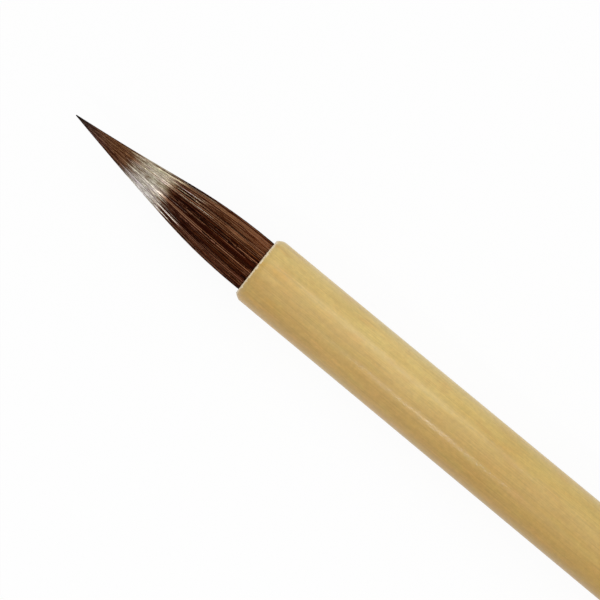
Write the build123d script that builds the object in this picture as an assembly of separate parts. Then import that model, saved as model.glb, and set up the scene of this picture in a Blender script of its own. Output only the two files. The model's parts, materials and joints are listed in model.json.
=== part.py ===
"""Calligraphy brush: a pointed hair tuft, bound and sealed at its root, glued into a bamboo handle.

Millimetres. The brush lies on its side as on a desk, +Z up: the hair point looks along -X, the tail
along +X, and the thick end of the handle touches z = 0. The origin is below the brush's middle.

Every piece is first modelled on an upright axis, with z = 0 at the handle's mouth, the hair point
upwards and the handle downwards, and is laid down at the end.
"""

import math
import os

from build123d import *

# ---------------------------------------------------------------- bamboo handle
HANDLE_LENGTH = 200.0
MOUTH_DIAMETER = 11.4  # over the straight front stretch, where a cap or clip goes
MOUTH_WALL = 1.1  # bamboo left round the reamed socket
STRAIGHT_LENGTH = 14.0  # front stretch with no taper
TAIL_DIAMETER = 12.2  # the culm swells towards its root end
MOUTH_ROUND = 0.8  # sanded outer edge of the mouth
MOUTH_CHAMFER = 0.15  # inner edge of the mouth, left pale and fibrous
TAIL_ROUND = 1.4  # sanded outer edge of the tail
SOCKET_CONE_ANGLE = 45.0  # reamer's point, between its flank and the axis
LUMEN_DIAMETER = 5.6  # the culm's natural hollow

# ---------------------------------------------------------------- hair tuft
FREE_LENGTH = 36.2  # hair out of the mouth
ROOT_DEPTH = 12.0  # hair inside the socket
PARALLEL_HAIR = 1.7  # stretch out of the mouth that keeps its full thickness
SHOULDER_LENGTH = 14.0  # curve from there into the straight cone of the point
POINT_DIAMETER = 0.25  # the tuft at its very point
COVER_THICKNESS = 0.68  # outer coat of long banded hair
CORE_DIAMETER = 4.0  # inner bundle that runs through to the point
ROOT_SLICE = 0.5  # hair roots fused by searing, one slice to each layer
COVER_RINGS = (70, 80)  # strands in each ring of a layer, inner ring first
WAIST_RINGS = (24, 30, 36)
CORE_RINGS = (6, 12, 18, 24)  # round one strand on the axis
STRAND_FILL = 0.86  # strand size over the pitch of its ring
HAIR_TIP = 0.45  # size of a hair's fine end over the room it has there
COVER_ENDS = (2.6, 9.0)  # how far short of the point these hairs stop, least and most
CORE_ENDS = (1.5, 6.0)
WAIST_ENDS = (2.6, 9.6)  # the same, but short of where the core starts to taper

# ---------------------------------------------------------------- binding, seal and glue
THREAD_THICKNESS = 0.4
THREAD_SIDES = 5
THREAD_TURNS = 4
THREAD_PITCH = 0.9
BINDING_MARGIN = 0.4  # bound hair past the thread at each end
SEAL_THICKNESS = 0.8  # hard button left by searing and resin behind the roots
SEAL_EDGE = 0.3  # its back's worn-off edge
GLUE_THICKNESS = 0.6  # between the seal's back and the end of the straight socket
GLUE_SKIRT = 0.7  # glue that creeps forward round the seal, and back into the hollow

# ---------------------------------------------------------------- tail plug
PLUG_LENGTH = 9.0  # shank inside the lumen
PLUG_FLANGE_INSET = 0.5  # flat of the tail left bare round the flange
PLUG_FLANGE_EDGE = 0.5  # flange thickness at its edge
PLUG_CROWN = 1.1  # dome over that edge, if no hole cut it
PLUG_TIP_CHAMFER = 0.5
CORD_HOLE_DIAMETER = 2.2  # for a hanging cord
CORD_HOLE_LIP = 0.25

# ---------------------------------------------------------------- clearances
HAIR_CLEARANCE = 0.1  # tuft to socket wall
THREAD_CLEARANCE = 0.05  # thread to hair and to socket wall
GLUE_CLEARANCE = 0.03
PLUG_CLEARANCE = 0.03
LAYER_CLEARANCE = 0.03  # between layers of hair

# ---------------------------------------------------------------- sizes that follow
mouth_radius = MOUTH_DIAMETER / 2
tail_radius = TAIL_DIAMETER / 2
lumen_radius = LUMEN_DIAMETER / 2
socket_radius = mouth_radius - MOUTH_WALL
mouth_round = min(MOUTH_ROUND, MOUTH_WALL - 2 * MOUTH_CHAMFER)
tuft_radius = socket_radius - HAIR_CLEARANCE
bound_radius = socket_radius - THREAD_THICKNESS - 2 * THREAD_CLEARANCE
socket_depth = ROOT_DEPTH + SEAL_THICKNESS + GLUE_THICKNESS
socket_cone_depth = (socket_radius - lumen_radius) / math.tan(math.radians(SOCKET_CONE_ANGLE))
thread_length = THREAD_TURNS * THREAD_PITCH
bound_length = thread_length + THREAD_THICKNESS + 2 * BINDING_MARGIN
cord_hole_radius = CORD_HOLE_DIAMETER / 2
hair_length = FREE_LENGTH + ROOT_DEPTH
flange_radius = tail_radius - TAIL_ROUND - PLUG_FLANGE_INSET
plug_height = PLUG_FLANGE_EDGE + PLUG_CROWN
axis_height = max(mouth_radius, tail_radius)

# The tuft's outline is a straight cone from the point, then a parabola that ends parallel to the
# axis. Places along the tuft are distances behind its point.
shoulder_end = FREE_LENGTH - PARALLEL_HAIR
shoulder_start = shoulder_end - SHOULDER_LENGTH
cone_slope = (2 * tuft_radius - POINT_DIAMETER) / (shoulder_start + shoulder_end)

# Inside the socket the tuft narrows evenly to its root, and leaves just enough room for the thread
# at the thread's front end.
bound_from = hair_length - bound_length
root_slope = (tuft_radius - bound_radius) / (bound_from - FREE_LENGTH)
root_radius = tuft_radius - root_slope * ROOT_DEPTH

# In front of this the coat fills all the space round the core, which tapers with it.
squeezed_radius = CORE_DIAMETER / 2 / (1 - COVER_THICKNESS / tuft_radius)
core_taper = (squeezed_radius - POINT_DIAMETER / 2) / cone_slope

# Where the faceted strands bend, and end inside the slice of fused roots. Only the coat, which
# shows, follows the shoulder's curve with two bends.
strand_root = hair_length - ROOT_SLICE / 2
BENDS = {
    "cover": (shoulder_start, (shoulder_start + shoulder_end) / 2, FREE_LENGTH, strand_root),
    "waist": (core_taper, shoulder_start, FREE_LENGTH, strand_root),
    "core": (core_taper, FREE_LENGTH, strand_root),
}


def free_radius(behind):
    """The tuft's radius at a distance behind its point, as if it didn't narrow to its root."""
    if behind > shoulder_end:
        return tuft_radius
    curve = max(behind - shoulder_start, 0.0) ** 2 / (2 * SHOULDER_LENGTH)
    return POINT_DIAMETER / 2 + cone_slope * (behind - curve)


def outline_radius(behind):
    """The tuft's radius at a distance behind its point."""
    return free_radius(behind) - root_slope * max(behind - FREE_LENGTH, 0.0)


def layer_bounds(layer, behind):
    """Inner and outer radius of one layer of hair at a distance behind the point."""
    outline = outline_radius(behind)
    squeeze = outline / tuft_radius
    cover_inside = outline - COVER_THICKNESS * squeeze
    core = min(CORE_DIAMETER / 2, cover_inside)
    if behind > FREE_LENGTH:
        core = CORE_DIAMETER / 2 * squeeze
    gap = LAYER_CLEARANCE * squeeze
    if layer == "cover":
        return cover_inside, outline
    if layer == "waist":
        return core + gap, max(cover_inside - gap, core + gap)
    return 0.0, core - gap


def ring_cell(layer, ring, rings, behind):
    """Middle radius and thickness of the ring-shaped cell that a strand keeps to."""
    inner, outer = layer_bounds(layer, behind)
    if layer == "core":
        # The strand on the axis takes the middle half cell, so ring 0 is centred one cell out.
        thickness = outer / (rings + 0.5)
        return thickness * (ring + 1), thickness
    thickness = (outer - inner) / rings
    return inner + thickness * (ring + 0.5), thickness


def flat_sided_solid(sections):
    """A closed solid through triangles of one shape and direction, so that all its faces are flat."""
    faces = [Face(Wire.make_polygon(sections[0])), Face(Wire.make_polygon(sections[-1]))]
    for near, far in zip(sections, sections[1:]):
        for i, j in ((0, 1), (1, 2), (2, 0)):
            faces.append(Face(Wire.make_polygon([near[i], near[j], far[j], far[i]])))
    return Solid(Shell(faces))


def strand(layer, ring, rings, count, number, end):
    """One hair as a three-sided tapered solid, flat side out, from the root slice to its fine end."""
    angle = 360 * (number + 0.5 * (ring % 2)) / count

    def place(behind):
        radius, thickness = ring_cell(layer, ring, rings, behind)
        return radius, STRAND_FILL * thickness, STRAND_FILL * 2 * math.pi * radius / count

    bends = BENDS[layer]
    root_depth, root_width = place(strand_root)[1:]
    stops = [(end, HAIR_TIP)] + [(bend, 1.0) for bend in bends if bend > end + 1.0]
    sections = []
    for behind, taper in stops:
        radius, depth, width = place(behind)
        scale = taper * min(depth / root_depth, width / root_width)
        out = radius + scale * root_depth / 2
        corners = (
            (out, scale * root_width / 2),
            (out, -scale * root_width / 2),
            (out - scale * root_depth, 0.0),
        )
        height = FREE_LENGTH - behind
        sections.append([Vector(x, y, height).rotate(Axis.Z, angle) for x, y in corners])
    return flat_sided_solid(sections)


def axis_strand():
    """The hair on the axis, which makes the very point."""
    sections = []
    for behind in (0.0, CORE_ENDS[0], *BENDS["core"]):
        outer = layer_bounds("core", max(behind, CORE_ENDS[0]))[1]
        half = STRAND_FILL * outer / (len(CORE_RINGS) + 0.5) / 2
        height = FREE_LENGTH - behind
        sections.append([Vector(half, 0, height).rotate(Axis.Z, turn) for turn in (0, 120, 240)])
    return flat_sided_solid(sections)


def hair_end(shortest, longest, number):
    """A hair's distance short of the point, spread evenly over the range by the golden ratio."""
    golden = (math.sqrt(5) - 1) / 2
    return shortest + (longest - shortest) * ((number * golden) % 1.0)


def hair_layer(layer, ring_counts, ends, first=()):
    """All strands of a layer, fused at once to the slice of seared roots that holds them."""
    inner, outer = layer_bounds(layer, strand_root)
    slice_ring = Circle(outer) - Circle(inner) if inner > 0 else Circle(outer)
    backing = Pos(0, 0, -ROOT_DEPTH) * extrude(slice_ring, ROOT_SLICE)
    strands = list(first)
    for ring, count in enumerate(ring_counts):
        for number in range(count):
            end = hair_end(*ends, len(strands))
            strands.append(strand(layer, ring, len(ring_counts), count, number, end))
    return backing.solid().fuse(*strands)


def cover_hairs():
    return hair_layer("cover", COVER_RINGS, COVER_ENDS)


def waist_hairs():
    ends = [core_taper + setback for setback in WAIST_ENDS]
    return hair_layer("waist", WAIST_RINGS, ends)


def core_hairs():
    return hair_layer("core", CORE_RINGS, CORE_ENDS, first=[axis_strand()])


def turned(*profile):
    """A turned piece: a closed (radius, height) outline of lines and arcs, revolved round the axis."""
    return revolve(make_face(Curve() + list(profile)), Axis.Z)


def polyline(*points):
    """Straight runs through (radius, height) points in the plane that is revolved."""
    return Polyline(*[(radius, 0, height) for radius, height in points])


def handle_culm():
    """Bamboo with no joint: straight front, slight swell to the tail, reamed socket, natural hollow."""
    tail = -HANDLE_LENGTH
    outline = [
        polyline(
            (mouth_radius, -mouth_round),
            (mouth_radius, -STRAIGHT_LENGTH),
            (tail_radius, tail + TAIL_ROUND),
        ),
        quarter_round((tail_radius, tail + TAIL_ROUND), (tail_radius - TAIL_ROUND, tail)),
        polyline(
            (tail_radius - TAIL_ROUND, tail),
            (lumen_radius, tail),
            (lumen_radius, -socket_depth - socket_cone_depth),
            (socket_radius, -socket_depth),
            (socket_radius, -MOUTH_CHAMFER),
            (socket_radius + MOUTH_CHAMFER, 0),
            (mouth_radius - mouth_round, 0),
        ),
        quarter_round((mouth_radius - mouth_round, 0), (mouth_radius, -mouth_round)),
    ]
    return turned(*outline)


def quarter_round(start, end):
    """A quarter circle that bulges outwards between two (radius, height) points."""
    (r0, z0), (r1, z1) = start, end
    corner_r, corner_z = max(r0, r1), (z1 if r0 > r1 else z0)
    centre_r, centre_z = min(r0, r1), (z0 if r0 > r1 else z1)
    bulge = math.sqrt(0.5)
    middle = (
        centre_r + (corner_r - centre_r) * bulge,
        0,
        centre_z + (corner_z - centre_z) * bulge,
    )
    return ThreePointArc((r0, 0, z0), middle, (r1, 0, z1))


def dome_drop(radius, rim_radius, rise):
    """How far a round dome of a given rise has fallen below its crown at a radius."""
    sphere = (rim_radius**2 + rise**2) / (2 * rise)
    return sphere - math.sqrt(sphere**2 - radius**2)


def root_seal():
    """The hard button of seared hair and resin behind the roots, its back edge worn off."""
    front = -ROOT_DEPTH
    back = front - SEAL_THICKNESS
    return turned(
        polyline(
            (0, back),
            (0, front),
            (root_radius, front),
            (root_radius, back + SEAL_EDGE),
            (root_radius - SEAL_EDGE, back),
            (0, back),
        )
    )


def socket_glue():
    """Glue on the socket's cone, closing the lumen, with a skirt up round the seal."""
    floor = -ROOT_DEPTH - SEAL_THICKNESS - GLUE_CLEARANCE
    outside = socket_radius - GLUE_CLEARANCE
    inside = root_radius + GLUE_CLEARANCE
    skirt_top = -ROOT_DEPTH - SEAL_THICKNESS + GLUE_SKIRT
    cone_start = -socket_depth + GLUE_CLEARANCE
    cone_end = cone_start - socket_cone_depth
    plug_radius = lumen_radius - GLUE_CLEARANCE
    bottom = cone_end - GLUE_SKIRT
    return turned(
        polyline(
            (0, floor),
            (0, bottom),
            (plug_radius, bottom),
            (plug_radius, cone_end),
            (outside, cone_start),
            (outside, skirt_top),
            (inside, skirt_top),
            (inside, floor + SEAL_EDGE),
            (inside - SEAL_EDGE, floor),
            (0, floor),
        )
    )


def thread_point(turns):
    """A point on the thread's centreline and the direction there, after a number of turns."""
    angle = 2 * math.pi * turns
    behind = hair_length - (bound_length - thread_length) / 2 - THREAD_PITCH * turns
    radius = outline_radius(behind) + THREAD_CLEARANCE + THREAD_THICKNESS / 2
    point = Vector(radius, 0, FREE_LENGTH - behind).rotate(Axis.Z, math.degrees(angle))
    way = Vector(root_slope * THREAD_PITCH, 2 * math.pi * radius, THREAD_PITCH)
    return point, way.rotate(Axis.Z, math.degrees(angle)).normalized()


def biarc(start, start_way, end, end_way):
    """Two arcs, tangent to each other and to the given directions at both ends."""
    chord = end - start
    ways = start_way + end_way
    spread = 2 * (1 - start_way.dot(end_way))
    reach = (math.sqrt(chord.dot(ways) ** 2 + spread * chord.dot(chord)) - chord.dot(ways)) / spread
    join = (start + end + (start_way - end_way) * reach) / 2
    first = Edge.make_tangent_arc(start, start_way, join)
    return [first, Edge.make_tangent_arc(join, first % 1, end)]


def binding_thread():
    """The thread wound round the roots in one length, flat-sided as a hard-twisted cord lies."""
    edges = []
    quarters = 4 * THREAD_TURNS
    for quarter in range(quarters):
        start, start_way = thread_point(quarter / 4)
        end, end_way = thread_point((quarter + 1) / 4)
        edges += biarc(start, start_way, end, end_way)
    path = Wire(edges)
    profile = Plane(origin=path @ 0, z_dir=path % 0)
    profile *= RegularPolygon(THREAD_THICKNESS / 2, THREAD_SIDES)
    return sweep(profile, path=path)


def plug_end():
    """Radius and height of the ring where the plug's dome meets the lip of the cord's hole."""
    radius = cord_hole_radius + CORD_HOLE_LIP
    return radius, dome_drop(radius, flange_radius, PLUG_CROWN) - HANDLE_LENGTH - plug_height


def tail_plug():
    """Turned wooden plug: a shank in the lumen, a domed flange on the tail, a hole for a cord."""
    seat = -HANDLE_LENGTH
    shank_radius = lumen_radius - PLUG_CLEARANCE
    shank_top = seat + PLUG_LENGTH
    lip_radius, lip_height = plug_end()
    middle = (lip_radius + flange_radius) / 2
    middle_drop = dome_drop(middle, flange_radius, PLUG_CROWN)
    return turned(
        polyline(
            (lip_radius, lip_height),
            (cord_hole_radius, lip_height + CORD_HOLE_LIP),
            (cord_hole_radius, shank_top),
            (shank_radius - PLUG_TIP_CHAMFER, shank_top),
            (shank_radius, shank_top - PLUG_TIP_CHAMFER),
            (shank_radius, seat),
            (flange_radius, seat),
            (flange_radius, seat - PLUG_FLANGE_EDGE),
        ),
        ThreePointArc(
            (flange_radius, 0, seat - PLUG_FLANGE_EDGE),
            (middle, 0, middle_drop + seat - plug_height),
            (lip_radius, 0, lip_height),
        ),
    )


def least_thread_gap():
    """The least distance between neighbouring turns of the thread's surface, from points on it."""
    steps = 60
    line = [thread_point(step / steps)[0] for step in range(steps * THREAD_TURNS + 1)]
    least = math.inf
    for start, point in enumerate(line):
        for other in line[start + steps // 2 :]:
            least = min(least, (other - point).length)
    return least - THREAD_THICKNESS


def lay_down(shape):
    """From the upright axis to the desk: the point towards -X, the handle's thick end on z = 0."""
    tail_end = plug_end()[1]
    mouth_x = (FREE_LENGTH + tail_end) / 2
    return Location((mouth_x, 0, axis_height)) * Rotation(0, -90, 0) * shape


PIECES = {
    "handle_culm": handle_culm,
    "tail_plug": tail_plug,
    "cover_hairs": cover_hairs,
    "waist_hairs": waist_hairs,
    "core_hairs": core_hairs,
    "binding_thread": binding_thread,
    "root_seal": root_seal,
    "socket_glue": socket_glue,
}


def main():
    os.makedirs("parts", exist_ok=True)
    for name, make in PIECES.items():
        export_step(lay_down(make()), f"parts/{name}.step")
    print("least gap between turns of thread, mm:", round(least_thread_gap(), 3))


main()
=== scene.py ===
"""The looks of a calligraphy brush: a banded, starched hair tuft set in a polished bamboo handle.

Shapes are worked out in millimetres round the brush's axis and scaled to metres as a mesh is made.
A place on the hair is its distance behind the tuft's point. An angle round the axis is 0 at +Y and
a quarter turn at +Z, which looks at the camera.
"""

import json
import math

import bpy
import numpy as np
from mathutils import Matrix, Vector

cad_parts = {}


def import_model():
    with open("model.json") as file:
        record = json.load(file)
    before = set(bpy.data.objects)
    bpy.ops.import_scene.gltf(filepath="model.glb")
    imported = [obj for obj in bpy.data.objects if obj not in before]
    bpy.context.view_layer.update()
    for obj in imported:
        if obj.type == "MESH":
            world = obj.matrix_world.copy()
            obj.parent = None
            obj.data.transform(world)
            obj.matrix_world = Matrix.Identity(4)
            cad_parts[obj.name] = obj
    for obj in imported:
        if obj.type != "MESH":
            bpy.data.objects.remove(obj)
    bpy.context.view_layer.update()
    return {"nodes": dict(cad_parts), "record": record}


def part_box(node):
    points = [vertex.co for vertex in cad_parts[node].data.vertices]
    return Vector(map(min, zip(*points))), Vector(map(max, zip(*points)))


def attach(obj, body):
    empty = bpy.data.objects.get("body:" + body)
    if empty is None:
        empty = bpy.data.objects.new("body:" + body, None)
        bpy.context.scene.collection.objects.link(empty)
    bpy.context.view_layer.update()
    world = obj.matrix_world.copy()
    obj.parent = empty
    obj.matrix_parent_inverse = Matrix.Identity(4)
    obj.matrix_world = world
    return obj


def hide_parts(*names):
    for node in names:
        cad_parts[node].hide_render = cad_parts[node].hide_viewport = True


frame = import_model()

MM = 0.001
TURN = 2 * math.pi
BODY = "root"
random = np.random.default_rng(20)


# ---- sizes read from the frame
def cad_box(node):
    """Lowest and highest corner of a CAD node, in millimetres."""
    low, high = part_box(node)
    return np.array(low) / MM, np.array(high) / MM


mounts = {mount["name"]: mount for mount in frame["record"]["mounts"]}
front_grip = mounts["handle_front"]
cord_hole = mounts["cord_hole"]
mouth_radius = front_grip["dims"]["r_mm"]
cord_hole_radius = cord_hole["dims"]["r_mm"]
axis_z = front_grip["pos_m"][2] / MM
straight_end_x = front_grip["pos_m"][0] / MM + front_grip["dims"]["length_mm"] / 2

point_x, root_x = (corner[0] for corner in cad_box("core_hairs"))
mouth_x, tail_x = (corner[0] for corner in cad_box("handle_culm"))
tail_radius = cad_box("handle_culm")[1][2] - axis_z
tuft_radius = cad_box("cover_hairs")[1][1]
root_radius = cad_box("root_seal")[1][1]
waist_x = cad_box("waist_hairs")[0][0]
core_radius = cad_box("core_hairs")[1][1]
plug_low, plug_high = cad_box("tail_plug")
thread_low, thread_high = cad_box("binding_thread")

free_length = mouth_x - point_x
hair_length = root_x - point_x

# ---- sizes of the handle, the plug and the thread
MOUTH_BEVEL = (1.1, 0.64)  # sanded outer edge of the mouth, along and across
BEVEL_FULLNESS = 1.3  # from 1 for a flat bevel to 2 for a round one
MOUTH_SKEW = 0.11  # how far the mouth runs forward at +Y and back at -Y
SKEW_LENGTH = 2.5  # stretch behind the mouth in which that dies out
MOUTH_WALL = 1.1
RIM_CHAMFER = 0.15
LUMEN_RADIUS = 2.8
LUMEN_CHAMFER = 0.12
SOCKET_DEPTH = 13.4
TAIL_ROUND = 1.4
CULM_AROUND, CULM_RINGS = 160, 150  # points round the culm, and rings along its side
MOUTH_CUT = (1.0, 1.0, 0.95, 0.8, 0.55, 0.3, 0.1)  # share of cut wood, ring by ring on the bevel
TAIL_CUT = (0.05, 0.3, 0.7, 0.95)  # and on the last rings of the tail's round edge

# Scraping leaves so many flats round the culm, and these depths of unevenness.
FLATS = (3, 4, 7)
FLAT_DEPTH = 0.007
OVAL_DEPTH = 0.012
WANDER_DEPTH = 0.012
SCRAPED_RISE = 0.04  # keeps the hollows outside the CAD culm
CALM_LENGTH = 8.0  # stretch at each end in which the unevenness dies out

FIBRES = 230  # torn fibre ends round the mouth, with these least and most sizes
FIBRE_DEPTH = (0.04, 0.5)
FIBRE_LENGTH = (0.0, 0.07)
FIBRE_RADIUS = (0.03, 0.07)
FIBRE_LEAN = 0.12
FIBRE_ROOT = 0.06  # how deep a fibre starts in the wood

PLUG_AROUND = 96
PLUG_CLEARANCE = 0.03
PLUG_FLANGE_EDGE = 0.5
PLUG_CROWN = 1.1
PLUG_SHANK_CHAMFER = 0.5
PLUG_SOFT_EDGE = 0.1
CORD_HOLE_LIP = 0.25
PLUG_GROOVES = (0.62, 0.86)  # turned grooves round the crown, as shares of its radius
PLUG_GROOVE_HALF = 0.17
PLUG_GROOVE_DEPTH = 0.1

THREAD_TURNS = 4
THREAD_THICKNESS = 0.4
THREAD_CLEARANCE = 0.05
THREAD_PLIES = 3
THREAD_STEPS = 64  # steps in each turn
PLY_SHARE = 0.46  # a ply's radius as a share of the thread's
PLY_OFFSET = 1.12  # how far a ply's middle is from the thread's, in ply radii
PLY_TWISTS = 9  # twists in each turn
PLY_SIDES = 8

# ---- sizes of the tuft
PARALLEL_HAIR = 1.7  # stretch out of the mouth that keeps its full thickness
SHOULDER_LENGTH = 14.0  # curve from there into the straight cone of the point
POINT_RADIUS = 0.1
POINT_LEAN = 0.25  # how far the point leans towards +Y
LEAN_LENGTH = 12.0  # stretch behind the point that leans

WIDE_LOCK_COUNT, LOCK_COUNT, STRIP_COUNT = 13, 46, 140  # bundles round the tuft, coarse to fine
LOCK_STRAY = 0.42  # how far a lock lies off its even place, in lock widths
LOCK_PULL = 0.3  # how far hairs draw together to the middle of their lock
PULL_START, PULL_GROWTH = 2.0, 20.0  # where behind the point that starts, and its way to the full
LOCK_GROOVE = 0.04  # how much deeper hairs lie between two locks, as a share of the radius

# Each layer's number of hairs, their depth as shares of the tuft's radius, their thickness and how
# far behind the point they end. Pairs are least and most.
COAT_HAIRS = 500
COAT_DEPTH = (0.93, 1.0)
COAT_WIDTH = (0.08, 0.25)
COAT_ENDS = {"a": (-0.15, 5.0), "b": (0.1, 8.0), "c": (0.5, 12.0)}
COAT_TONE = 1.3
INNER_WIDTH = (0.28, 0.4)
WAIST_HAIRS = 160
WAIST_DEPTH = (0.55, 0.84)
WAIST_SPREAD = 7.0
CORE_HAIRS = 61
CORE_DEPTH = (0.05, 0.9)  # the most is a share of the core's own radius
CORE_ENDS = (0.3, 5.0)
STRAND_STATIONS, STRAND_SIDES = 20, 5
STRAND_TAPER = 11.0  # stretch in which a hair thins to its end
STRAND_END = 0.1  # thickness left there
# Waves along a hair, each a share or an angle and a length: out and in, and two round the tuft.
WAVE_OUT, WAVE_SLOW, WAVE_QUICK = (0.004, 5.0), (0.014, 9.0), (0.008, 3.3)
PACKED_SHARE = 0.945
PACKED_AROUND, PACKED_STATIONS = 420, 90
PACKED_START = 0.9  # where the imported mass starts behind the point
PACKED_RIDGE, PACKED_GROOVE = 0.01, 0.018  # its ridges and its grooves, as shares of its radius
# The packed mass is darker than the coat: painted shade under the coat hairs.
PACKED_SHADE_TONE = 0.6

# ---- tones and bands of the hair
WARMTH_SPREAD = 0.14  # how much a hair's warmth differs from its side's
# What a hair's tone is made of: draws of its strip, its own, its lock and its wide lock.
STRIP_TONE, OWN_TONE, LOCK_TONE, WIDE_LOCK_TONE = 0.25, 1.3, 0.05, 0.08
# Painted shade: hair facing +Y and hair facing up or down is darker, hair facing -Y lighter.
PLUS_Y_SHADE_TONE, TOP_SHADE_TONE, MEAN_TONE = -0.16, -0.3, -0.12  # facing +Y, facing up or down, and all
# The spread of brightness from hair to hair, and its share at places behind the point.
TONE_CONTRAST = 0.8
TONE_PLACES = (0.0, 4.0, 9.0, 11.3, 13.0, 17.5, 19.5)
TONE_SHARES = (0.5, 0.55, 0.75, 0.6, 0.3, 0.25, 1.35)
# Painted shade on the tuft's two side edges: how much darker they are, and its share at places
# behind the point.
EDGE_SHADE = 1.35
EDGE_PLACES = (0.0, 10.0, 12.0, 15.0, 17.0)
EDGE_SHARES = (1.5, 1.3, 0.1, 0.1, 1.0)
EDGE_POWER = 18  # the higher, the narrower the edges
# Painted shade on a broader rim on both sides, just behind the pale band and more so at +Y: how
# much darker it is.
RIM_SHADE = 1.1
RIM_PLUS_Y = 0.3
RIM_PLACES = (16.8, 18.2, 22.5, 27.0)
RIM_SHARES = (0.0, 1.0, 1.0, 0.0)
RIM_POWER = 8
# Painted shade on the hair that faces up or down, and a painted sheen on the hair at the two sides:
# how much darker and how much lighter.
ROUND_PLACES = (16.0, 20.0)
TOP_SHADES = (0.24, 0.48)
SIDE_GLEAMS = (0.0, 0.36)
GLEAM, GLEAM_PLUS_Y = 1.1, -0.5
# How far the pale band's front edge moves to the point: by draws of strip, lock and hair, and by
# the side that the hair faces.
STRIP_FRONT, LOCK_FRONT, OWN_FRONT = 0.5, 0.35, 0.65
SIDE_FRONT, SIDE_FRONT_PLUS_Y, TOP_FRONT = 0.8, 0.4, -0.25
# The same for its rear edge, which lies farther back at the two sides.
STRIP_REAR, LOCK_REAR, OWN_REAR = 0.25, 0.12, 0.55
MEAN_REAR, PLUS_Y_REAR, SIDE_REAR = 0.2, 0.15, -0.6
SIDE_REAR_START, SIDE_REAR_WIDTH = 0.5, 0.4
# On some hairs the pale band runs on: how many of them, how much less on the rims, and how far.
RUN_CHANCE, RUN_SIDES, RUN_PLUS_Y = 0.08, 0.38, 0.16
RUN_RIM_LOSS, RUN_RIM_START, RUN_RIM_WIDTH = 0.8, 0.88, 0.08
RUN_LEAST, RUN_SPREAD, RUN_SPREAD_PLUS_Y, RUN_POWER = 0.6, 5.4, 1.8, 1.2
RUN_TONE, RUN_TONE_PLUS_Y = 0.1, 0.8
# Where the front edge's shift gives way to the rear edge's, and where the shifts start.
BAND_MIDDLE, BAND_CHANGE = 13.0, 3.5
SHIFT_START, SHIFT_GROWTH = 1.0, 7.0

# The hair's colours by distance behind the point: in painted warm light on the yellower +Y side and
# in painted cool light on the greyer -Y side.
HAIR_IN_WARM_LIGHT = [
    (0.0, (9, 6, 5)),
    (2.0, (32, 23, 19)),
    (4.5, (78, 52, 36)),
    (8.0, (92, 60, 32)),
    (10.7, (96, 66, 40)),
    (11.7, (132, 112, 86)),
    (13.0, (161, 149, 125)),
    (16.2, (182, 172, 148)),
    (17.7, (178, 164, 138)),
    (18.6, (136, 114, 88)),
    (19.3, (78, 45, 25)),
    (20.5, (69, 36, 17)),
    (28.0, (77, 39, 11)),
    (36.0, (89, 46, 13)),
]
HAIR_IN_COOL_LIGHT = [
    (0.0, (9, 6, 7)),
    (2.0, (50, 37, 36)),
    (4.5, (88, 62, 55)),
    (8.0, (83, 51, 35)),
    (10.7, (90, 62, 47)),
    (11.7, (150, 139, 134)),
    (13.0, (181, 176, 170)),
    (16.2, (208, 205, 198)),
    (17.7, (208, 199, 188)),
    (18.5, (148, 129, 118)),
    (19.2, (74, 38, 28)),
    (20.5, (62, 27, 18)),
    (28.0, (70, 30, 13)),
    (36.0, (72, 31, 11)),
]
# The pale dull brown that the brightest dark hairs are mixed to: a painted sheen.
PAINTED_SHEEN_HAIR = (150, 118, 91)
# Tints that multiply a colour, in linear values: the deepest tones, and purplish and olive patches.
DEEP_TINT = (1.3, 0.62, 0.22, 1.0)
PURPLE_TINT = (1.04, 0.93, 1.12, 1.0)
OLIVE_TINT = (0.98, 1.05, 0.92, 1.0)

# ---- colours of the other materials
# The skin's ramp runs from -Y to +Y: its rise to +Y is painted light, mixed with random patches.
BAMBOO_SKIN_LIT_TO_PLUS_Y = [(0.18, (192, 155, 85)), (0.5, (202, 168, 96)), (0.82, (221, 193, 118))]
BAMBOO_RIPE = (204, 158, 72)
BAMBOO_ORANGE = (214, 164, 96)
BAMBOO_GREENISH = (192, 174, 92)
BAMBOO_FLECK = (150, 108, 58)
BAMBOO_AGED_TINT = (1.0, 0.97, 0.87, 1.0)
BAMBOO_PITH = [(0.3, (230, 206, 164)), (0.7, (249, 236, 208))]
BAMBOO_BUNDLE = (154, 108, 62)
FIBRE_COLOURS = [(0.3, (228, 206, 168)), (0.7, (248, 236, 210))]
PLUG_WOOD = [(0.34, (40, 19, 11)), (0.5, (72, 37, 21)), (0.66, (112, 63, 35))]
PLUG_PORE = (26, 13, 8)
PLUG_HEART = (-7.0, 4.0)  # where the tree's middle was: its y, and its height above the axis
SILK = [(0.3, (190, 168, 128)), (0.7, (226, 216, 190))]
RESIN = [(0.3, (44, 20, 8)), (0.7, (104, 56, 22))]
HIDE_GLUE = [(0.3, (140, 96, 38)), (0.7, (196, 152, 80))]

# ---- the photograph's frame and light
PHOTO_TURN = math.radians(39.63)
PHOTO_WIDTH = 92.4
PHOTO_MIDDLE = 44.84  # how far its middle is behind the hair's point
PHOTO_RISE = 0.4  # how far its middle is above the axis there
LENS = 200.0
SENSOR = 36.0
FLOOR_HALF = 3.0  # metres
FLOOR_COLOUR = (246, 246, 246)
FLOOR_WHITE = 0.94  # share of plain white that the camera sees there, over the lit floor's own
TENT_LIGHT = 0.6  # brightness of the white all round, as a light

MAP_SIDE, MAP_REST = 0.88, 0.89  # of a turned piece's map: where its side ends, the rest starts
MAP_COLUMNS = 512  # columns of the map for separate hairs


# ---- shader helpers
def linear(red, green, blue):
    """A colour given in sRGB from 0 to 255, as the shader's linear values."""

    def one(value):
        value /= 255
        return value / 12.92 if value <= 0.04045 else ((value + 0.055) / 1.055) ** 2.4

    return one(red), one(green), one(blue), 1.0


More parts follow.
